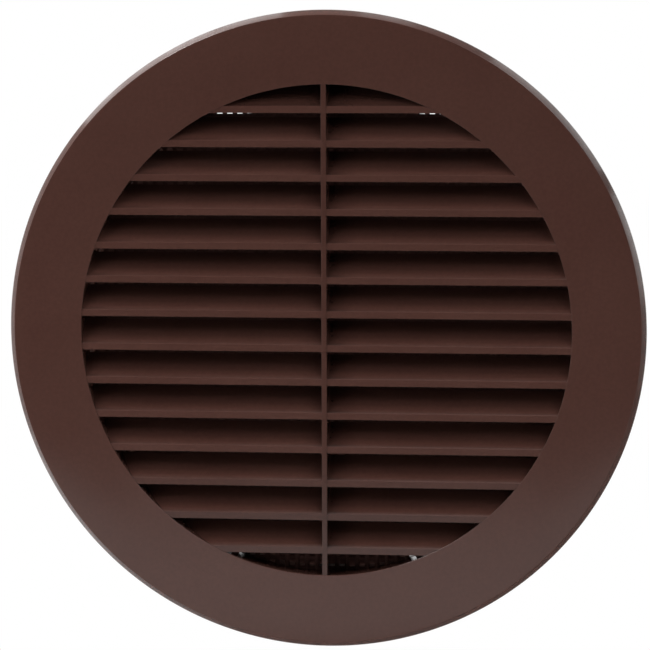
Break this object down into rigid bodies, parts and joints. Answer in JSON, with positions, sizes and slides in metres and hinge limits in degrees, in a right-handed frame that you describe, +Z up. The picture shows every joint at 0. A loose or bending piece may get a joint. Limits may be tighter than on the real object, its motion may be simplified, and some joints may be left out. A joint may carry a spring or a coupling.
{
  "type": "louvred vent grille",
  "caption": "Round brown plastic vent grille with a flat flange, fixed horizontal louvres, a centre rib, an insect net and a spring-fingered collar for a duct.",
  "frame": {"origin": "on the duct's axis, in the wall plane that the back of the flange rests on", "axes": "+Z up, +Y along the duct away from the viewer; the face looks towards -Y; +X to the viewer's right"},
  "size_m": [0.1866, 0.0236, 0.1865],
  "materials": {
    "face_plastic": "satin chocolate-brown moulded plastic",
    "collar_plastic": "satin chocolate-brown moulded plastic",
    "net_plastic": "brown moulded net",
    "foam": "black closed-cell foam",
    "spring_steel": "bright strip steel"
  },
  "bodies": {
    "root": {"front_grille": "face_plastic", "duct_collar": "collar_plastic", "insect_mesh": "net_plastic", "flange_gasket": "foam", "spring_clip_1": "spring_steel", "spring_clip_2": "spring_steel", "spring_clip_3": "spring_steel", "spring_clip_4": "spring_steel"}
  },
  "joints": []
}
